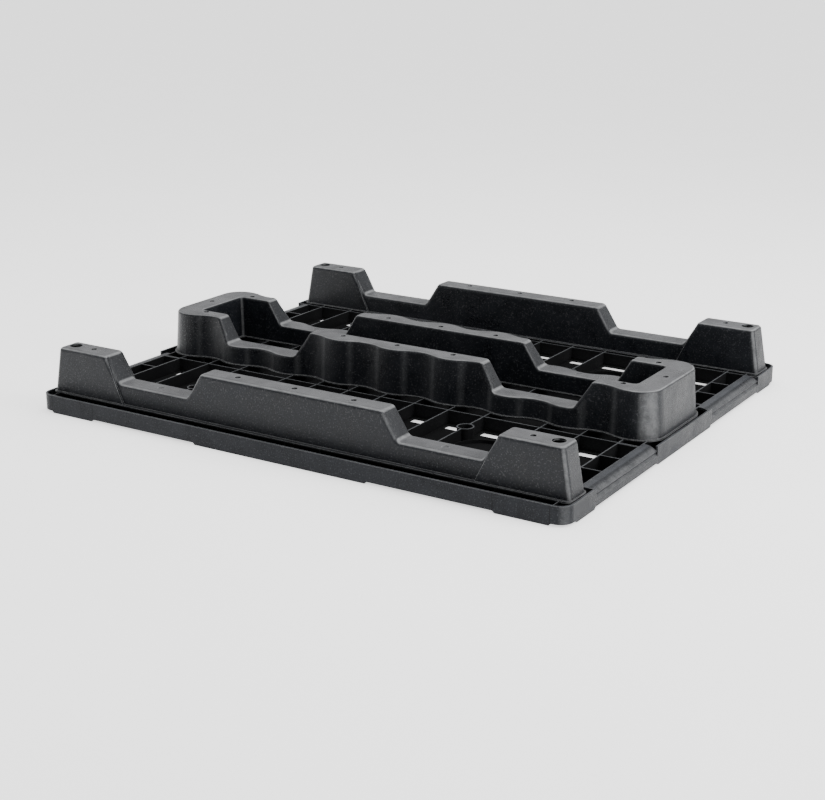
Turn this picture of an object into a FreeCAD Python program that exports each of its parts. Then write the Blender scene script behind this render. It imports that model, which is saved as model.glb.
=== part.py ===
import FreeCAD
import Part
import math
import os

# A plastic pallet with three runners, lying with its load face down and its
# runners up. Millimetres, +X along the long side, +Z up, origin at the middle
# of the bottom of the bounding box. Sizes are for the quadrant where x and y are
# positive, and the shapes repeat by mirroring in the other three.

V = FreeCAD.Vector
UP = V(0, 0, 1)
SIGNS = (-1, 1)
TINY = 1e-6                  # lengths below this count as nothing
NUDGE = 1e-9                 # puts a point on the right side of a border
CUT_OVER = 1.0               # how far a cutter reaches past what it cuts

# Whole pallet
LENGTH = 1200.0
WIDTH = 1000.0
HEIGHT = 130.0

# Deck moulding
LIP = 4.0                    # safety lips round the load face, height and width
DECK_HALF_X = LENGTH / 2
DECK_HALF_Y = WIDTH / 2
DECK_CORNER = 26.0
LOAD_Z = LIP                 # the load face itself
PLATE = LOAD_Z + 4.0         # inner side of the plate
RIM_WALL = 4.0
RIM_TOP = 37.0
RIB = 2.2
RIB_TRIM = 1.0               # the ribs end this far inside the outside of the rim
RIB_TOP = 36.0
GROOVE_RIB_TOP = 20.0        # ribs in the groove between rim and side runner
GROOVE_END_X = 570.0
SEAT_Z = 34.0                # rib tops under the runners
SEAT_GAP = 0.5
# Where the lips run along the long and the short sides
LONG_LIPS = ((-200.0, 200.0), (458.0, 570.0), (-570.0, -458.0))
SHORT_LIPS = ((-130.0, 130.0), (390.0, 465.0), (-465.0, -390.0))
CROSS_RIBS_X = (80.0, 160.0, 240.0, 364.0, 448.0, 528.0)
END_RIB_X = 570.0
RING_RIB_Y = 148.0
RUNNER_RIB_Y = 390.0
STUB_RIBS_Y = (152.0, 228.0, 304.0)

# Rounded lead-in for the forks, in the short sides
LEAD_Y0 = 131.0
LEAD_Y1 = 389.0
LEAD_FACE_TOP = 18.0
LEAD_WAIST_Z = 22.0
LEAD_CREASE_Z = 27.0
LEAD_HOLLOW = 4.0
LEAD_TOP_X = 572.0
LEAD_NOSE_OUT = 2.0          # how the middle of the nose stands off halfway
LEAD_NOSE_DROP = 2.5

# Slots through the deck plate
SLOT_ROWS_Y = (167.5, 372.5)
SLOT_WIDTH = 24.0
SLOT_CLEAR = 5.0
SLOT_CORNER = 4.0

# Round stiffeners on the deck: x, y, radius and height of the top
BIG_RING = (302.0, 270.0, 60.0, 15.0)
SMALL_RINGS = ((240.0, 218.0, 17.0, 36.0), (364.0, 298.0, 14.0, 36.0))

# Feet and bridges, the same along all three runners
WALL = 4.0
END_FOOT_TOP_X = 449.0       # each slope at the ground face and at the bridge
END_FOOT_LOW_X = 417.0
BRIDGE_Z = 76.5
CENTRE_FOOT_LOW_X = 242.0
CENTRE_FOOT_TOP_X = 208.0
FOOT_ROUND = 12.0
BRIDGE_ROUND = 12.0
FLANGE = 3.0
LOFT_TOP = HEIGHT + 10.0     # blocks are made too tall, then trimmed
SIDE_CREST_ROUND = 8.0
RING_CREST_ROUND = 5.5
DIMPLE_X = 328.0
DIMPLE_R = 7.0
DIMPLE_DEEP = 1.0
CREST_SLACK = 1.0            # crests lie no further than this below the bridge
UPRIGHT = 0.3                # a wall's normal rises less than this
LOOKS_UP = 0.5               # and that of a top or a slope more than this

# Side runners
SIDE_Y = 438.5
SIDE_BASE = (590.5, 30.0)    # half length and half width at the seat
SIDE_TOP = (573.5, 28.0)     # the same at the ground face
SIDE_CORNER = 10.0
SIDE_NARROW = 4.0            # bridges and centre foot are slimmer, each side
SIDE_WIDE_LOW_X = 403.0      # where the wide end foot starts, at the seat
SIDE_FLANGE = (592.5, 35.0)
SIDE_FLANGE_CORNER = 14.0
CORNER_HOLE_X = 551.0
CORNER_HOLE_R = 13.0

# Ring runner
RING_END_BASE = 588.0
RING_END_TOP = 579.0
RING_MID_BASE = 115.5
RING_MID_TOP = 110.0
RING_WAVE = 7.5
RING_PITCH = 400.0 / 3.0     # from one bulge to the next
RING_WAVE_END_X = 4 * RING_PITCH
RING_DIMPLE_Y = 88.0
RING_FLANGE_OUT = 3.5
RING_HOLE_BASE = (525.0, 72.0)
RING_HOLE_TOP = (525.0, 70.0)
RING_HOLE_CORNER = 8.0
RING_HOLE_FLANGE = 4.0

# Lock pins that hold the runners to the deck
PIN_HEAD_R = 5.8
PIN_HEAD_HIGH = 3.0
PIN_HEAD_ROUND = 0.8
PIN_SHANK_R = 3.4
PIN_FOOT_Z = 10.0
PIN_SINK = 4.0               # depth of the recess over the head
SLEEVE_R = 9.0
SLEEVE_HOLE_R = 4.2
RECESS_R = 6.0
BOSS_R = 8.0
BOSS_HOLE_R = 3.5
BOSS_FLOOR = 2.0             # left closed under the hole
PIN_TIP = 2.0

SIDE_PINS = {"end": ((502.0, 0.0),), "centre": ((-133.4, 0.0), (0.0, 0.0), (133.4, 0.0))}
RING_END_PINS = ((503.0, -82.0), (503.0, 82.0), (553.7, 0.0))
RING_CENTRE_PINS = tuple((x, s * 86.6) for x in (-133.3, 0.0, 133.3) for s in SIGNS)


def box(x0, x1, y0, y1, z0, z1):
    return Part.makeBox(x1 - x0, y1 - y0, z1 - z0, V(x0, y0, z0))


def join(shapes):
    return shapes[0].multiFuse(shapes[1:]).removeSplitter()


def rounded_outline(half_x, half_y, radius, z, centre=(0.0, 0.0)):
    """A rectangle with round corners, as one wire."""
    corners = [(-half_x, -half_y), (half_x, -half_y), (half_x, half_y), (-half_x, half_y)]
    points = [(centre[0] + x, centre[1] + y, radius) for x, y in corners]
    return rounded_polygon(points, lambda a, b: V(a, b, z))


def rounded_polygon(points, place):
    """A closed outline through (a, b, radius) points, each corner as an arc."""
    edges = []
    starts = []
    ends = []
    count = len(points)
    for i, (a, b, radius) in enumerate(points):
        here = V(a, b, 0)
        to_last = (V(points[i - 1][0], points[i - 1][1], 0) - here).normalize()
        nxt = points[(i + 1) % count]
        to_next = (V(nxt[0], nxt[1], 0) - here).normalize()
        half = to_last.getAngle(to_next) / 2
        reach = radius / math.tan(half)
        first = here + to_last * reach
        last = here + to_next * reach
        starts.append(first)
        ends.append(last)
        if radius > 0:
            out = (to_last + to_next).normalize()
            middle = here + out * (radius / math.sin(half) - radius)
            arc = Part.Arc(place(first.x, first.y), place(middle.x, middle.y),
                           place(last.x, last.y))
            edges.append(arc.toShape())
    for i in range(count):
        a, b = ends[i - 1], starts[i]
        if (a - b).Length > TINY:
            edges.append(Part.makeLine(place(a.x, a.y), place(b.x, b.y)))
    return Part.Wire(Part.__sortEdges__(edges))


def raise_outline(wire, height):
    return Part.Face(wire).extrude(UP * height)


def loft(low, high):
    return Part.makeLoft([low, high], True, True)


def tube(x, y, outer, inner, z0, z1):
    solid = Part.makeCylinder(outer, z1 - z0, V(x, y, z0))
    return solid.cut(Part.makeCylinder(inner, z1 - z0, V(x, y, z0)))


def four_ways(x, y):
    return [(sx * x, sy * y) for sx in SIGNS for sy in SIGNS]


# ---------------------------------------------------------------- pins

def all_pins():
    """The (x, y) places of the pins in each runner."""
    places = {}
    for side in SIGNS:
        ends = [(s * x, y) for x, y in SIDE_PINS["end"] for s in SIGNS]
        row = ends + list(SIDE_PINS["centre"])
        places[side_name(side)] = [(x, side * SIDE_Y + y) for x, y in row]
    ends = [(s * x, y) for x, y in RING_END_PINS for s in SIGNS]
    places["ring"] = ends + list(RING_CENTRE_PINS)
    return places


def pin(x, y):
    """A round head and a plain shank with a pointed tip."""
    under_head = HEIGHT - PIN_SINK - PIN_HEAD_HIGH
    head = Part.makeCylinder(PIN_HEAD_R, PIN_HEAD_HIGH, V(x, y, under_head))
    rim = [e for e in head.Edges if abs(e.CenterOfMass.z - HEIGHT + PIN_SINK) < TINY]
    head = head.makeFillet(PIN_HEAD_ROUND, rim)
    shank = Part.makeCylinder(PIN_SHANK_R, under_head - PIN_FOOT_Z - PIN_TIP,
                              V(x, y, PIN_FOOT_Z + PIN_TIP))
    tip = Part.makeCone(PIN_SHANK_R - PIN_TIP, PIN_SHANK_R, PIN_TIP, V(x, y, PIN_FOOT_Z))
    return join([head, shank, tip])


def with_pin_sleeves(shell, outer, places):
    """Adds a sleeve for each pin, inside the outer shape, and opens its hole."""
    depth = HEIGHT - SEAT_Z
    sleeves = [Part.makeCylinder(SLEEVE_R, depth, V(x, y, SEAT_Z)) for x, y in places]
    sleeves = Part.Compound(sleeves).common(outer)
    shell = shell.fuse(sleeves)
    holes = [Part.makeCylinder(SLEEVE_HOLE_R, depth, V(x, y, SEAT_Z)) for x, y in places]
    seat = HEIGHT - PIN_SINK - PIN_HEAD_HIGH
    holes += [Part.makeCylinder(RECESS_R, depth, V(x, y, seat)) for x, y in places]
    return shell.cut(Part.Compound(holes))


# ---------------------------------------------------------------- feet profile

def above_feet(inset):
    """All the room over the feet and bridges, run through in Y."""
    foot = HEIGHT - inset
    bridge = BRIDGE_Z - inset
    rise = HEIGHT - BRIDGE_Z
    end_slope = (END_FOOT_TOP_X - END_FOOT_LOW_X) / rise
    mid_slope = (CENTRE_FOOT_LOW_X - CENTRE_FOOT_TOP_X) / rise
    end_x = END_FOOT_LOW_X + inset * (math.hypot(end_slope, 1) - end_slope)
    mid_x = CENTRE_FOOT_LOW_X - inset * (math.hypot(mid_slope, 1) - mid_slope)
    right = [(mid_x - mid_slope * rise, foot, FOOT_ROUND),
             (mid_x, bridge, BRIDGE_ROUND),
             (end_x, bridge, BRIDGE_ROUND),
             (end_x + end_slope * rise, foot, FOOT_ROUND),
             (LENGTH, foot, 0), (LENGTH, 2 * HEIGHT, 0)]
    left = [(-x, z, r) for x, z, r in reversed(right)]
    wire = rounded_polygon(left + right, lambda a, b: V(a, -WIDTH, b))
    return Part.Face(wire).extrude(V(0, 2 * WIDTH, 0))


def is_crest(edge, solid):
    """Whether the edge lies between an upright wall and a face that looks up."""
    if min(v.Z for v in edge.Vertexes) < BRIDGE_Z - CREST_SLACK:
        return False
    point = edge.valueAt((edge.FirstParameter + edge.LastParameter) / 2)
    tilts = []
    for face in solid.ancestorsOfType(edge, Part.Face):
        u, v = face.Surface.parameter(point)
        tilts.append(face.normalAt(u, v).z)
    return len(tilts) == 2 and min(tilts) < UPRIGHT and max(tilts) > LOOKS_UP


def round_crests(shape, radius):
    """Rounds the edges that run along the tops, slopes and bridges."""
    solid = shape.Solids[0]
    return solid.makeFillet(radius, [e for e in solid.Edges if is_crest(e, solid)])


def drafted(base, top):
    """The size at the loft's upper end, a little above the ground face."""
    return base + (top - base) * (LOFT_TOP - SEAT_Z) / (HEIGHT - SEAT_Z)


# ---------------------------------------------------------------- side runner

def side_block(inset, narrow):
    """The drafted block of a side runner about its own centre line."""
    radius = SIDE_CORNER - inset / 2
    base = rounded_outline(SIDE_BASE[0] - inset, SIDE_BASE[1] - inset - narrow, radius, SEAT_Z)
    top = rounded_outline(drafted(SIDE_BASE[0], SIDE_TOP[0]) - inset,
                          drafted(SIDE_BASE[1], SIDE_TOP[1]) - inset - narrow, radius, LOFT_TOP)
    return loft(base, top).cut(above_feet(inset))


def side_end_zone(side, inset):
    """Where the end foot is at its full width."""
    slope = (END_FOOT_TOP_X - SIDE_WIDE_LOW_X) / (HEIGHT - SEAT_Z)
    low = SIDE_WIDE_LOW_X + inset
    points = [(low, SEAT_Z), (LENGTH, SEAT_Z), (LENGTH, LOFT_TOP),
              (low + slope * (LOFT_TOP - SEAT_Z), LOFT_TOP)]
    wire = Part.makePolygon([V(side * x, -WIDTH, z) for x, z in points + points[:1]])
    return Part.Face(wire).extrude(V(0, 2 * WIDTH, 0))


def side_solid(inset):
    """Slim bridges and centre foot, with the wide end feet let in."""
    slim = side_block(inset, SIDE_NARROW)
    wide = side_block(inset, 0.0)
    if not inset:
        slim = round_crests(slim, SIDE_CREST_ROUND)
        wide = round_crests(wide, SIDE_CREST_ROUND)
    zones = [side_end_zone(side, inset) for side in SIGNS]
    return slim.cut(Part.Compound(zones)).multiFuse([wide.common(z) for z in zones])


def side_flange():
    outer = rounded_outline(SIDE_FLANGE[0], SIDE_FLANGE[1], SIDE_FLANGE_CORNER, SEAT_Z)
    inner = rounded_outline(SIDE_BASE[0] - WALL / 2, SIDE_BASE[1] - WALL / 2 - SIDE_NARROW,
                            SIDE_CORNER - WALL / 2, SEAT_Z)
    return raise_outline(outer, FLANGE).cut(raise_outline(inner, FLANGE))


def dimples(y_list):
    places = [(s * DIMPLE_X, y) for s in SIGNS for y in y_list]
    return [Part.makeCylinder(DIMPLE_R, WALL, V(x, y, BRIDGE_Z - DIMPLE_DEEP)) for x, y in places]


def side_runner(side):
    outer = side_solid(0.0)
    shell = outer.cut(side_solid(WALL))
    shell = shell.fuse(side_flange())
    places = [(x, y - side * SIDE_Y) for x, y in all_pins()[side_name(side)]]
    shell = with_pin_sleeves(shell, outer, places)
    holes = [Part.makeCylinder(CORNER_HOLE_R, HEIGHT, V(s * CORNER_HOLE_X, 0, BRIDGE_Z))
             for s in SIGNS]
    shell = shell.cut(Part.Compound(holes + dimples((0.0,))))
    shell.translate(V(0, side * SIDE_Y, 0))
    return shell


def side_name(side):
    return "front" if side < 0 else "rear"


# ---------------------------------------------------------------- ring runner

def wave_out(x):
    """How far the wave stands out at x: equal arcs, tangent where they meet."""
    half_pitch = RING_PITCH / 2
    radius = (half_pitch ** 2 / 4 + RING_WAVE ** 2) / (2 * RING_WAVE)
    bump = round(x / half_pitch)
    height = math.sqrt(radius ** 2 - (x - bump * half_pitch) ** 2) - (radius - RING_WAVE)
    return height if bump % 2 == 0 else -height


def wave_side(side, mid, grow, z):
    """One wavy long side of the ring, between its two ends."""
    half_pitch = RING_PITCH / 2
    bumps = int(round(RING_WAVE_END_X / half_pitch))
    arcs = []
    for bump in range(-bumps, bumps + 1):
        x0 = max((bump - 0.5) * half_pitch, -RING_WAVE_END_X)
        x1 = min((bump + 0.5) * half_pitch, RING_WAVE_END_X)
        points = []
        for x, inside in ((x0, NUDGE), (bump * half_pitch, 0), (x1, -NUDGE)):
            points.append(V(x, side * (mid + grow + wave_out(x + inside)), z))
        if abs(bump) == bumps:
            x = (x0 + x1) / 2
            points[1] = V(x, side * (mid + grow + wave_out(x)), z)
        arcs.append(Part.Arc(*points).toShape())
    return arcs


def ring_end(side, mid, end, grow, z):
    """The rounded end of the ring, tangent to both wavy sides."""
    half = mid + grow + RING_WAVE
    corner = end + grow - RING_WAVE_END_X
    x0, x1 = RING_WAVE_END_X, RING_WAVE_END_X + corner
    bend = corner * (1 - math.sqrt(0.5))
    edges = [Part.makeLine(V(side * x1, -(half - corner), z), V(side * x1, half - corner, z))]
    for s in SIGNS:
        arc = Part.Arc(V(side * x0, s * half, z), V(side * (x1 - bend), s * (half - bend), z),
                       V(side * x1, s * (half - corner), z))
        edges.append(arc.toShape())
    return edges


def ring_outline(mid, end, grow, z):
    edges = []
    for side in SIGNS:
        edges += wave_side(side, mid, grow, z) + ring_end(side, mid, end, grow, z)
    return Part.Wire(Part.__sortEdges__(edges))


def ring_block(inset):
    base = ring_outline(RING_MID_BASE, RING_END_BASE, -inset, SEAT_Z)
    top = ring_outline(drafted(RING_MID_BASE, RING_MID_TOP),
                       drafted(RING_END_BASE, RING_END_TOP), -inset, LOFT_TOP)
    return loft(base, top).cut(above_feet(inset))


def ring_window(grow):
    radius = RING_HOLE_CORNER + grow / 2
    base = rounded_outline(RING_HOLE_BASE[0] + grow, RING_HOLE_BASE[1] + grow, radius, SEAT_Z)
    top = rounded_outline(drafted(RING_HOLE_BASE[0], RING_HOLE_TOP[0]) + grow,
                          drafted(RING_HOLE_BASE[1], RING_HOLE_TOP[1]) + grow, radius, LOFT_TOP)
    return loft(base, top)


def ring_solid(inset):
    solid = ring_block(inset).cut(ring_window(inset))
    return solid if inset else round_crests(solid, RING_CREST_ROUND)


def ring_flange():
    """The two lips of the ring, each reaching to the middle of its wall."""
    outer = ring_outline(RING_MID_BASE, RING_END_BASE, RING_FLANGE_OUT, SEAT_Z)
    in_wall = ring_outline(RING_MID_BASE, RING_END_BASE, -WALL / 2, SEAT_Z)
    half_x, half_y = RING_HOLE_BASE
    grow = WALL / 2
    in_inner_wall = rounded_outline(half_x + grow, half_y + grow, RING_HOLE_CORNER + grow, SEAT_Z)
    lip = rounded_outline(half_x - RING_HOLE_FLANGE, half_y - RING_HOLE_FLANGE,
                          RING_HOLE_CORNER, SEAT_Z)
    rings = []
    for big, small in ((outer, in_wall), (in_inner_wall, lip)):
        rings.append(raise_outline(big, FLANGE).cut(raise_outline(small, FLANGE)))
    return rings


def ring_runner():
    outer = ring_solid(0.0)
    shell = outer.cut(ring_solid(WALL))
    shell = shell.multiFuse(ring_flange())
    shell = with_pin_sleeves(shell, outer, all_pins()["ring"])
    return shell.cut(Part.Compound(dimples((-RING_DIMPLE_Y, RING_DIMPLE_Y))))


# ---------------------------------------------------------------- deck

def deck_tray():
    """The plate and the rim round it."""
    outer = raise_outline(rounded_outline(DECK_HALF_X, DECK_HALF_Y, DECK_CORNER, LOAD_Z),
                          RIM_TOP - LOAD_Z)
    inner = raise_outline(rounded_outline(DECK_HALF_X - RIM_WALL, DECK_HALF_Y - RIM_WALL,
                                          DECK_CORNER - RIM_WALL, PLATE), RIM_TOP)
    return outer.cut(inner)


def lip(length):
    """One lip along X, with sloping ends, its outer face at y = 0."""
    half = length / 2
    points = [(-half, LIP), (-half + LIP, 0), (half - LIP, 0), (half, LIP)]
    wire = Part.makePolygon([V(x, 0, z) for x, z in points + points[:1]])
    return Part.Face(wire).extrude(V(0, LIP, 0))


def deck_lips():
    lips = []
    for turn, reach, spans in ((0, WIDTH, LONG_LIPS), (90, LENGTH, SHORT_LIPS)):
        for start, end in spans:
            for half_turn in (0, 180):
                piece = lip(end - start)
                piece.translate(V((start + end) / 2, -reach / 2, 0))
                piece.rotate(V(0, 0, 0), UP, turn + half_turn)
                lips.append(piece)
    return lips


def lead_in_profile(inset):
    """Section of the lead-in: an upright face, a hollow, and a rounded nose."""
    face = DECK_HALF_X - inset
    low = PLATE if inset else LOAD_Z
    lower = V(face, 0, LEAD_FACE_TOP - inset / 2)
    waist = V(face - LEAD_HOLLOW, 0, LEAD_WAIST_Z - inset / 2)
    nose = V(face - LEAD_HOLLOW / 2, 0, LEAD_CREASE_Z - inset / 2)
    top = V(LEAD_TOP_X, 0, RIB_TOP - inset)
    over = V((face + LEAD_TOP_X) / 2 + LEAD_NOSE_OUT, 0, RIB_TOP - LEAD_NOSE_DROP - inset)
    edges = [Part.makeLine(V(LEAD_TOP_X, 0, low), V(face, 0, low)),
             Part.makeLine(V(face, 0, low), lower),
             Part.makeLine(lower, waist),
             Part.makeLine(waist, nose),
             Part.Arc(nose, over, top).toShape(),
             Part.makeLine(top, V(LEAD_TOP_X, 0, low))]
    return Part.Face(Part.Wire(edges))


def lead_in(side_x, side_y):
    outer = lead_in_profile(0.0).extrude(V(0, LEAD_Y1 - LEAD_Y0, 0))
    inner = lead_in_profile(RIM_WALL).extrude(V(0, LEAD_Y1 - LEAD_Y0, 0))
    shell = outer.cut(inner)
    shell.translate(V(0, LEAD_Y0, 0))
    if side_x < 0:
        shell = shell.mirror(V(0, 0, 0), V(1, 0, 0))
    if side_y < 0:
        shell = shell.mirror(V(0, 0, 0), V(0, 1, 0))
    return shell


def lead_in_gaps():
    """What the lead-in takes out of the high rim."""
    gaps = []
    for sx in SIGNS:
        for sy in SIGNS:
            x = sorted((sx * LEAD_TOP_X, sx * LENGTH))
            y = sorted((sy * LEAD_Y0, sy * LEAD_Y1))
            gaps.append(box(x[0], x[1], y[0], y[1], PLATE, HEIGHT))
    return gaps


def cross_rib_places():
    return sorted([0.0] + [s * x for x in CROSS_RIBS_X for s in SIGNS])


def deck_ribs():
    half_x, half_y = DECK_HALF_X - RIM_WALL / 2, DECK_HALF_Y - RIM_WALL / 2
    half = RIB / 2
    ribs = []
    for x in cross_rib_places() + [-END_RIB_X, END_RIB_X]:
        ribs.append(box(x - half, x + half, -half_y, half_y, PLATE, RIB_TOP))
    for y in (RING_RIB_Y, RUNNER_RIB_Y):
        for s in SIGNS:
            ribs.append(box(-half_x, half_x, s * y - half, s * y + half, PLATE, RIB_TOP))
    ribs.append(box(-END_RIB_X, END_RIB_X, -half, half, PLATE, SEAT_Z))
    for s in SIGNS:
        ribs.append(box(-END_RIB_X, END_RIB_X, s * SIDE_Y - half, s * SIDE_Y + half, PLATE, SEAT_Z))
    for y in STUB_RIBS_Y:
        for sx in SIGNS:
            x = sorted((sx * CROSS_RIBS_X[-1], sx * END_RIB_X))
            ribs += [box(x[0], x[1], s * y - half, s * y + half, PLATE, RIB_TOP) for s in SIGNS]
    return ribs


def deck_slots():
    """Slots through the plate, in four rows, one between every two cross ribs."""
    places = [-END_RIB_X] + cross_rib_places() + [END_RIB_X]
    slots = []
    for x0, x1 in zip(places, places[1:]):
        centre, half = (x0 + x1) / 2, (x1 - x0) / 2 - SLOT_CLEAR
        for y in SLOT_ROWS_Y:
            for s in SIGNS:
                wire = rounded_outline(half, SLOT_WIDTH / 2, SLOT_CORNER, -CUT_OVER, (centre, s * y))
                slots.append(raise_outline(wire, PLATE + 2 * CUT_OVER))
    return slots


def deck_rings():
    rings = []
    x, y, radius, top = BIG_RING
    for px, py in four_ways(x, y):
        rings.append(tube(px, py, radius + RIB / 2, radius - RIB / 2, PLATE, top))
    return rings


def deck_small_tubes():
    tubes = []
    holes = []
    for x, y, radius, top in SMALL_RINGS:
        for px, py in four_ways(x, y):
            tubes.append(Part.makeCylinder(radius, top - PLATE, V(px, py, PLATE)))
            holes.append(Part.makeCylinder(radius - RIB, top - PLATE, V(px, py, PLATE)))
    return tubes, holes


def runner_seats():
    """The room that the runners and their flanges take out of the rib tops."""
    seats = []
    for s in SIGNS:
        wire = rounded_outline(SIDE_FLANGE[0] + SEAT_GAP, SIDE_FLANGE[1] + SEAT_GAP,
                               SIDE_FLANGE_CORNER, SEAT_Z, (0.0, s * SIDE_Y))
        seats.append(raise_outline(wire, HEIGHT))
        y = sorted((s * (SIDE_Y + SIDE_FLANGE[1]), s * (DECK_HALF_Y - RIM_WALL)))
        seats.append(box(-GROOVE_END_X, GROOVE_END_X, y[0], y[1], GROOVE_RIB_TOP, HEIGHT))
    grow = RING_FLANGE_OUT + SEAT_GAP
    ring = raise_outline(ring_outline(RING_MID_BASE, RING_END_BASE, grow, SEAT_Z), HEIGHT)
    lip = RING_HOLE_FLANGE + SEAT_GAP
    window = rounded_outline(RING_HOLE_BASE[0] - lip, RING_HOLE_BASE[1] - lip,
                             RING_HOLE_CORNER, SEAT_Z)
    seats.append(ring.cut(raise_outline(window, HEIGHT)))
    return seats


def deck_bosses():
    places = [p for group in all_pins().values() for p in group]
    bosses = [Part.makeCylinder(BOSS_R, SEAT_Z - PLATE, V(x, y, PLATE)) for x, y in places]
    holes = [Part.makeCylinder(BOSS_HOLE_R, SEAT_Z, V(x, y, PLATE + BOSS_FLOOR)) for x, y in places]
    return bosses, holes


def deck():
    rim = deck_tray().cut(Part.Compound(lead_in_gaps()))
    ribs = join(deck_ribs())
    inside = rounded_outline(DECK_HALF_X - RIB_TRIM, DECK_HALF_Y - RIB_TRIM,
                             DECK_CORNER - RIB_TRIM, 0)
    ribs = ribs.common(raise_outline(inside, HEIGHT)).cut(Part.Compound(lead_in_gaps()))
    bosses, boss_holes = deck_bosses()
    tubes, tube_holes = deck_small_tubes()
    ribs = ribs.multiFuse(deck_rings() + tubes + bosses)
    ribs = ribs.cut(Part.Compound(tube_holes + boss_holes))
    leads = [lead_in(sx, sy) for sx in SIGNS for sy in SIGNS]
    body = rim.multiFuse([ribs] + leads + deck_lips())
    body = body.cut(Part.Compound(runner_seats()))
    body = body.cut(Part.Compound(deck_slots()))
    return body.removeSplitter()


# ---------------------------------------------------------------- output

def save(name, shape):
    solids = shape.Solids
    good = all(s.isValid() and s.isClosed() for s in solids)
    print(name, "solids", len(solids), "valid", good, "box", shape.BoundBox)
    out = solids[0] if len(solids) == 1 else Part.Compound(solids)
    out.exportStep(os.path.join("parts", name + ".step"))


def main():
    os.makedirs("parts", exist_ok=True)
    save("deck", deck())
    for side in SIGNS:
        save("side_runner_" + side_name(side), side_runner(side))
    save("ring_runner", ring_runner())
    pins = [pin(x, y) for places in all_pins().values() for x, y in places]
    save("lock_pins", Part.Compound(pins))


main()
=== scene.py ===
import math
from collections import namedtuple

import bpy
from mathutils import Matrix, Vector


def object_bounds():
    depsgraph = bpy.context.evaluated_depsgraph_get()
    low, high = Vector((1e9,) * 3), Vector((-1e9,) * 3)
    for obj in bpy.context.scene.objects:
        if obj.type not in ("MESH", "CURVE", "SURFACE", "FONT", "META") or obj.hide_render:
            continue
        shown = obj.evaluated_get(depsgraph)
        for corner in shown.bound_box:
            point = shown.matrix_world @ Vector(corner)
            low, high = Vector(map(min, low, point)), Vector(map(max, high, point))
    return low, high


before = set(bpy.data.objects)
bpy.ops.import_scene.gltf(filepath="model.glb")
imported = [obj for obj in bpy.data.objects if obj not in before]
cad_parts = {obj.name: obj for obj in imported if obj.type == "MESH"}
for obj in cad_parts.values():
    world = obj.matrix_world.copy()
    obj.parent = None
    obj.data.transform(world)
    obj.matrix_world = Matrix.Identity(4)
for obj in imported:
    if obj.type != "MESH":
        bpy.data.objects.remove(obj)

CAD_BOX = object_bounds()
LOW, HIGH = Vector(CAD_BOX[0]), Vector(CAD_BOX[1])
MM = 0.001

# Camera, standing in front of the right end and a little above
AZIMUTH = math.radians(32.245)
ELEVATION = math.radians(17.709)
AIM = Vector((106.454, -196.090, 60.0)) * MM
DISTANCE = 3.0685
LENS = 68.19
SENSOR = 36.0

WORLD_STRENGTH = 0.8
FLOOR_SIZE = 600.0
FLOOR_DROP = 0.5 * MM        # keeps the floor just clear of the pallet
FLOOR_GLOW = 1.2             # lifts the floor towards the white of a studio sweep
FLOOR_ROUGH = 0.9
FLOOR_TINTS = ((0.86, 0.86, 0.86), (0.89, 0.89, 0.89))

# Area lights: name, place, aim, size, watts
LIGHTS = (
    ("overhead", (0.2, 0.3, 2.6), (0.0, 0.0, 0.0), (3.0, 2.4), 60.0),
    ("right_back", (3.2, 0.6, 1.4), (0.2, 0.0, 0.05), (1.6, 1.4), 100.0),
    ("crest_strip", (0.4, -1.6, 2.2), (0.0, -0.2, 0.1), (2.6, 0.3), 8.0),
    ("left_strip", (-2.6, -1.3, 0.4), (0.0, -0.1, 0.06), (0.3, 0.7), 9.0),
)

# A noise pattern: its features per metre, octaves, roughness and warp, then the
# raw values low..high that are mapped to start..end, and a stretch by axis.
Pattern = namedtuple("Pattern", "scale detail rough warp low high start end stretch",
                     defaults=(0.0, 1.0, None))
CLOUD = Pattern(11.0, 7.0, 0.68, 0.8, 0.38, 0.64)
FLOW = Pattern(22.0, 5.0, 0.7, 1.2, 0.45, 0.8, stretch=(0.5, 0.8, 0.8))
GRAIN = Pattern(480.0, 2.0, 0.7, 0.0, 0.42, 0.66)
FLECK = Pattern(330.0, 2.0, 0.5, 0.0, 0.58, 0.68)
PATCHES = Pattern(16.0, 8.0, 0.72, 0.4, 0.3, 0.62, 0.45, 1.0)
SCRATCH_X = Pattern(150.0, 3.0, 0.55, 0.3, 0.70, 0.74, stretch=(0.06, 1.6, 1.0))
SCRATCH_Y = Pattern(170.0, 3.0, 0.55, 0.3, 0.70, 0.74, stretch=(1.4, 0.08, 1.0))
RAGGED = Pattern(55.0, 6.0, 0.75, 0.0, 0.32, 0.62, 0.35, 1.0)
FLOOR_CLOUD = Pattern(3.0, 3.0, 0.5, 0.0, 0.3, 0.7)

# How strongly each layer of paint covers what lies under it
CLOUD_COVER = 0.6
FLOW_COVER = 0.25
GRAIN_COVER = 0.8
FLECK_COVER = 0.22
SCRATCH_COVER = 0.35
CREST_HIGHLIGHT_COVER = 0.6
CORNER_HIGHLIGHT_COVER = 0.6
SEAM_COVER = 0.7
CELL_SHADE_COVER = 0.93

# Bare plastic on worn edges, also the painted highlight on edges and crests
BARE_AND_HIGHLIGHT = (0.34, 0.345, 0.35)
# Dark of the mould seams, also the painted shade down in the deck's cells
SEAM_AND_SHADE_DARK = (0.0025, 0.0026, 0.0028)
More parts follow.
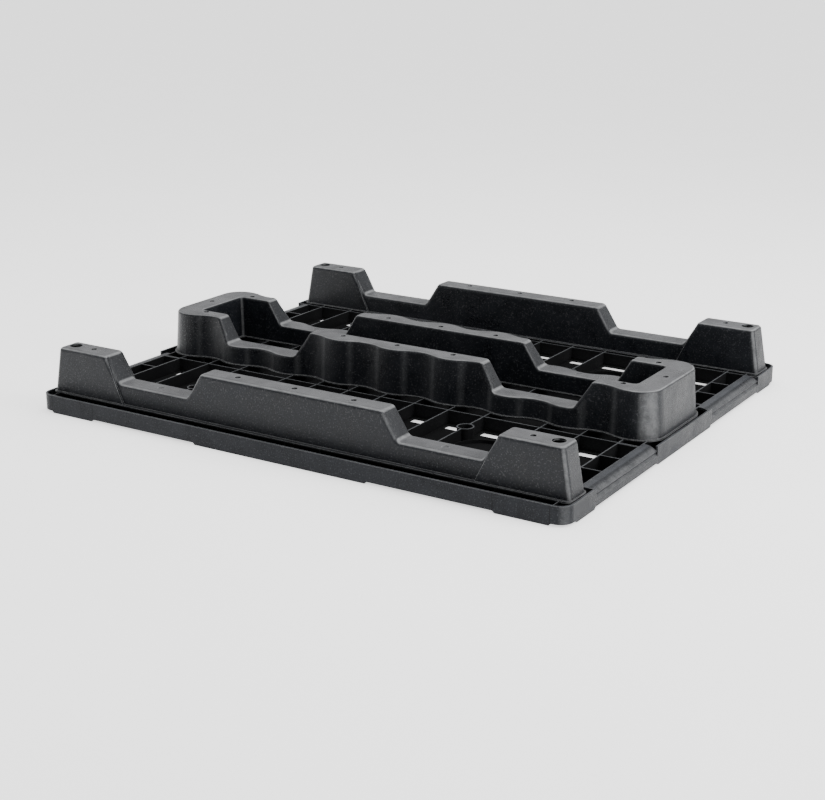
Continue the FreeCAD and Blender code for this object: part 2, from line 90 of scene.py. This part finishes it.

# Where the rubbing and painted top light, the edge wear and painted highlights, the painted shade
# low in the deck and the seams lie
FACES_UP = (0.45, 0.98)      # rise of the normal, from unrubbed and unlit to fully rubbed and painted lighter on top
RUB_AND_TOP_LIGHT_LOW = 0.05               # what is left of the rubbing and painted top light down in the deck
WEAR_AND_HIGHLIGHT_RADIUS = 0.0022
EDGE_DOT = (0.97, 0.78)      # true against rounded normal, from no edge wear and painted highlight to full
EDGE_SAMPLES = 6
CREST_START = (0.56, 0.70)   # rise of the normal where a crest's painted highlight begins and ends
CREST_END = (0.97, 0.86)
CORNER_TURN = (0.30, 0.47)   # product of the normal's x and y on an upright corner, where a painted highlight goes
INSIDE_X = HIGH.x - 26.5 * MM
INSIDE_Y = HIGH.y - 4.5 * MM
INSIDE_BLEND = 2.0 * MM
CELL_TOP = (35.9 * MM, 34.8 * MM)
SEAM_PLACES = (0.458, 0.568)
SEAM_HALF = 1.2 * MM
SEAM_DEPTH = (1.0 * MM, 0.5 * MM)

# Gloss and relief
IOR = 1.5
ROUGH = (0.26, 0.48)
ROUGH_GRAIN = 0.5            # the grain's share of the roughness
ROUGH_INSIDE = 0.95
# Relief: features per metre, octaves and roughness, then strength and depth
FINE_RELIEF = (480.0, 3.0, 0.7, 0.8, 0.0007)
WAVY_RELIEF = (20.0, 3.0, 0.55, 0.45, 0.003)
SCRATCH_RELIEF = (0.25, 0.0003)

# A plastic: colours, how much is rubbed and painted lighter on top and over what heights, shine, and
# edge wear with painted highlight
Plastic = namedtuple("Plastic", "name dark pale scuffed scuff rub_from rub_to shine wear")
RIB_TOPS = (34.5 * MM, 35.5 * MM)
FEET = (30.0 * MM, 60.0 * MM)
DECK_PLASTIC = Plastic("deck_plastic", (0.0040, 0.0045, 0.0057), (0.019, 0.0205, 0.0240),
                       (0.115, 0.12, 0.13), 0.5, *RIB_TOPS, 0.10, 0.35)
RUNNER_PLASTIC = Plastic("runner_plastic", (0.0022, 0.0027, 0.0038), (0.0100, 0.0115, 0.0147),
                         (0.145, 0.147, 0.153), 0.72, *FEET, 0.22, 0.85)
PIN_PLASTIC = Plastic("pin_plastic", (0.012, 0.013, 0.015), (0.030, 0.032, 0.036),
                      (0.14, 0.142, 0.15), 0.5, *FEET, 0.22, 0.6)

DECK_NODES = ("deck",)
RUNNER_NODES = ("side_runner_front", "side_runner_rear", "ring_runner")


# ---------------------------------------------------------------- material tools

class Paint:
    """A node material with short helpers for its parts."""

    def __init__(self, name):
        self.material = bpy.data.materials.new(name)
        self.material.use_nodes = True
        self.tree = self.material.node_tree
        self.shader = self.tree.nodes["Principled BSDF"]
        self.place = self.add("ShaderNodeTexCoord").outputs["Object"]

    def add(self, kind, **values):
        node = self.tree.nodes.new(kind)
        for key, value in values.items():
            setattr(node, key, value)
        return node

    def link(self, source, target):
        self.tree.links.new(source, target)

    def stretch(self, scale):
        node = self.add("ShaderNodeMapping")
        node.inputs["Scale"].default_value = scale
        self.link(self.place, node.inputs["Vector"])
        return node.outputs["Vector"]

    def noise(self, scale, detail, rough, warp=0.0, along=None):
        node = self.add("ShaderNodeTexNoise")
        node.inputs["Scale"].default_value = scale
        node.inputs["Detail"].default_value = detail
        node.inputs["Roughness"].default_value = rough
        node.inputs["Distortion"].default_value = warp
        self.link(along or self.place, node.inputs["Vector"])
        return node.outputs["Fac"]

    def pattern(self, spec):
        """A noise pattern, stretched and mapped to its range."""
        along = self.stretch(spec.stretch) if spec.stretch else None
        raw = self.noise(spec.scale, spec.detail, spec.rough, spec.warp, along)
        return self.ramp(raw, spec.low, spec.high, spec.start, spec.end)

    def ramp(self, source, low, high, start=0.0, end=1.0):
        """Maps a value from low..high to start..end, clamped."""
        node = self.add("ShaderNodeMapRange", clamp=True)
        node.inputs["From Min"].default_value = low
        node.inputs["From Max"].default_value = high
        node.inputs["To Min"].default_value = start
        node.inputs["To Max"].default_value = end
        self.link(source, node.inputs["Value"])
        return node.outputs["Result"]

    def math(self, operation, a, b):
        node = self.add("ShaderNodeMath", operation=operation)
        for socket, value in zip(node.inputs, (a, b)):
            if isinstance(value, (int, float)):
                socket.default_value = value
            else:
                self.link(value, socket)
        return node.outputs["Value"]

    def mix(self, amount, first, second):
        node = self.add("ShaderNodeMix", data_type="RGBA")
        self.link(amount, node.inputs["Factor"])
        for socket, value in ((node.inputs[6], first), (node.inputs[7], second)):
            if isinstance(value, tuple):
                socket.default_value = (*value, 1.0)
            else:
                self.link(value, socket)
        return node.outputs[2]

    def bump(self, height, strength, distance, under=None):
        node = self.add("ShaderNodeBump")
        node.inputs["Strength"].default_value = strength
        node.inputs["Distance"].default_value = distance
        self.link(height, node.inputs["Height"])
        if under:
            self.link(under, node.inputs["Normal"])
        return node.outputs["Normal"]

    def size_of(self, value):
        return self.math("ABSOLUTE", value, 0.0)

    def split(self, vector):
        node = self.add("ShaderNodeSeparateXYZ")
        self.link(vector, node.inputs["Vector"])
        return node.outputs["X"], node.outputs["Y"], node.outputs["Z"]

    def facing(self):
        """The three parts of the surface's normal."""
        return self.split(self.add("ShaderNodeNewGeometry").outputs["Normal"])

    def axes(self):
        return self.split(self.place)

    def edges(self, radius):
        """Near 1 on sharp edges, where a rounded normal leaves the true one."""
        soft = self.add("ShaderNodeBevel", samples=EDGE_SAMPLES)
        soft.inputs["Radius"].default_value = radius
        dot = self.add("ShaderNodeVectorMath", operation="DOT_PRODUCT")
        self.link(soft.outputs["Normal"], dot.inputs[0])
        self.link(self.add("ShaderNodeNewGeometry").outputs["Normal"], dot.inputs[1])
        return self.ramp(dot.outputs["Value"], *EDGE_DOT)

    def painted_crest_highlight(self):
        """Painted highlight: near 1 on the rounded crests and upright corners, by the way they face.
        """
        x, y, z = self.facing()
        crest = self.math("MULTIPLY", self.ramp(z, *CREST_START), self.ramp(z, *CREST_END))
        corner = self.ramp(self.size_of(self.math("MULTIPLY", x, y)), *CORNER_TURN)
        return self.math("MAXIMUM", crest, self.math("MULTIPLY", corner, CORNER_HIGHLIGHT_COVER))

    def seams(self, places, half_width):
        """Thin upright lines on the long sides of the rim."""
        x, y, _ = self.axes()
        out_x = self.size_of(x)
        line = None
        for place in places:
            off = self.size_of(self.math("SUBTRACT", out_x, place))
            here = self.ramp(off, half_width, half_width / 2)
            line = here if line is None else self.math("MAXIMUM", line, here)
        outside = self.ramp(self.size_of(y), *(HIGH.y - depth for depth in SEAM_DEPTH))
        return self.math("MULTIPLY", line, outside)

    def painted_cell_shade(self):
        """Painted shade: near 1 down in the deck's cells, 0 on the outside of the rim."""
        x, y, z = self.axes()
        in_x = self.ramp(self.size_of(x), INSIDE_X, INSIDE_X - INSIDE_BLEND)
        in_y = self.ramp(self.size_of(y), INSIDE_Y, INSIDE_Y - INSIDE_BLEND)
        low = self.ramp(z, *CELL_TOP)
        return self.math("MULTIPLY", self.math("MULTIPLY", in_x, in_y), low)


# ---------------------------------------------------------------- materials

def plastic_body(p, look):
    """Recycled plastic: cloudy, streaked, finely grained and flecked."""
    cloud, grain = p.pattern(CLOUD), p.pattern(GRAIN)
    body = p.mix(p.math("MULTIPLY", cloud, CLOUD_COVER), look.dark, look.pale)
    body = p.mix(p.math("MULTIPLY", p.pattern(FLOW), FLOW_COVER), body, look.pale)
    body = p.mix(p.math("MULTIPLY", grain, GRAIN_COVER), body, look.pale)
    body = p.mix(p.math("MULTIPLY", p.pattern(FLECK), FLECK_COVER), body, look.scuffed)
    return body, cloud, grain


def use_marks(p, look, body):
    """Rubbed, scratched and painted lighter as top light where it faces up; bare plastic and painted
    highlight on its edges.
    """
    # Facing up and high: real rubbing plus painted top light, fading low in the deck
    up = p.ramp(p.facing()[2], *FACES_UP)
    high = p.ramp(p.axes()[2], look.rub_from, look.rub_to, RUB_AND_TOP_LIGHT_LOW, 1.0)
    rubbed_and_top_lit = p.math("MULTIPLY", p.math("MULTIPLY", up, p.pattern(PATCHES)),
                    p.math("MULTIPLY", high, look.scuff))
    body = p.mix(rubbed_and_top_lit, body, look.scuffed)
    scratches = p.math("MAXIMUM", p.pattern(SCRATCH_X), p.pattern(SCRATCH_Y))
    scratches = p.math("MULTIPLY", scratches, up)
    body = p.mix(p.math("MULTIPLY", scratches, SCRATCH_COVER), body, look.scuffed)
    # Painted highlight along the rounded crests and upright corners
    painted_crest_highlight = p.math("MULTIPLY", p.painted_crest_highlight(), CREST_HIGHLIGHT_COVER)
    # Sharp edges: real wear plus painted highlight, mixed towards the bare colour
    worn_and_highlit = p.math("MAXIMUM", p.edges(WEAR_AND_HIGHLIGHT_RADIUS), painted_crest_highlight)
    edge = p.math("MULTIPLY", p.math("MULTIPLY", worn_and_highlit, p.pattern(RAGGED)), look.wear)
    return p.mix(edge, body, BARE_AND_HIGHLIGHT), scratches


def moulded_plastic(look):
    p = Paint(look.name)
    body, cloud, grain = plastic_body(p, look)
    body, scratches = use_marks(p, look, body)
    seams = p.math("MULTIPLY", p.seams(SEAM_PLACES, SEAM_HALF), SEAM_COVER)
    body = p.mix(seams, body, SEAM_AND_SHADE_DARK)
    # Painted shade: low down inside the rim, in the deck's cells, the colour goes nearly black
    inside = p.painted_cell_shade()
    body = p.mix(p.math("MULTIPLY", inside, CELL_SHADE_COVER), body, SEAM_AND_SHADE_DARK)
    p.link(body, p.shader.inputs["Base Color"])

    uneven = p.math("ADD", cloud, p.math("MULTIPLY", grain, ROUGH_GRAIN))
    rough = p.ramp(uneven, 0.0, 1.0 + ROUGH_GRAIN, *ROUGH)
    rough = p.math("MAXIMUM", rough, p.math("MULTIPLY", inside, ROUGH_INSIDE))
    p.link(rough, p.shader.inputs["Roughness"])
    p.shader.inputs["IOR"].default_value = IOR
    p.shader.inputs["Specular IOR Level"].default_value = look.shine

    relief = p.bump(p.noise(*FINE_RELIEF[:3]), *FINE_RELIEF[3:])
    relief = p.bump(p.noise(*WAVY_RELIEF[:3]), *WAVY_RELIEF[3:], relief)
    p.link(p.bump(scratches, *SCRATCH_RELIEF, relief), p.shader.inputs["Normal"])
    return p.material


def floor_paint():
    p = Paint("studio_floor")
    p.link(p.mix(p.pattern(FLOOR_CLOUD), *FLOOR_TINTS), p.shader.inputs["Base Color"])
    p.shader.inputs["Roughness"].default_value = FLOOR_ROUGH
    p.shader.inputs["Emission Color"].default_value = (1.0, 1.0, 1.0, 1.0)
    p.shader.inputs["Emission Strength"].default_value = FLOOR_GLOW
    return p.material


def dress(node, material):
    """Gives a CAD node its material, on the object and not on its mesh."""
    piece = bpy.data.objects[node]
    for socket in piece.material_slots:
        socket.link = "OBJECT"
        socket.material = material


# ---------------------------------------------------------------- stage

def add_floor():
    bpy.ops.mesh.primitive_plane_add(size=FLOOR_SIZE, location=(0.0, 0.0, LOW.z - FLOOR_DROP))
    floor = bpy.context.object
    floor.name = "studio_floor"
    floor.data.materials.append(floor_paint())


def add_light(name, place, aim, size, watts):
    data = bpy.data.lights.new(name, "AREA")
    data.shape = "RECTANGLE"
    data.size, data.size_y = size
    data.energy = watts
    lamp = bpy.data.objects.new(name, data)
    bpy.context.collection.objects.link(lamp)
    lamp.location = place
    lamp.rotation_euler = (Vector(aim) - Vector(place)).to_track_quat("-Z", "Y").to_euler()


def add_world(strength):
    world = bpy.data.worlds.new("studio")
    world.use_nodes = True
    shade = world.node_tree.nodes["Background"]
    shade.inputs["Color"].default_value = (1.0, 1.0, 1.0, 1.0)
    shade.inputs["Strength"].default_value = strength
    bpy.context.scene.world = world


def add_camera():
    data = bpy.data.cameras.new("camera")
    data.sensor_width = SENSOR
    data.lens = LENS
    camera = bpy.data.objects.new("camera", data)
    bpy.context.collection.objects.link(camera)
    away = Vector((math.sin(AZIMUTH) * math.cos(ELEVATION), -math.cos(AZIMUTH) * math.cos(ELEVATION),
                   math.sin(ELEVATION)))
    camera.location = AIM + away * DISTANCE
    camera.rotation_euler = away.to_track_quat("Z", "Y").to_euler()
    bpy.context.scene.camera = camera


# ---------------------------------------------------------------- the pallet

def dress_pallet():
    deck_paint = moulded_plastic(DECK_PLASTIC)
    runner_paint = moulded_plastic(RUNNER_PLASTIC)
    pin_paint = moulded_plastic(PIN_PLASTIC)
    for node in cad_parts:
        if node in DECK_NODES:
            dress(node, deck_paint)
        elif node in RUNNER_NODES:
            dress(node, runner_paint)
        else:
            dress(node, pin_paint)


dress_pallet()
add_floor()
add_world(WORLD_STRENGTH)
for light in LIGHTS:
    add_light(*light)
add_camera()
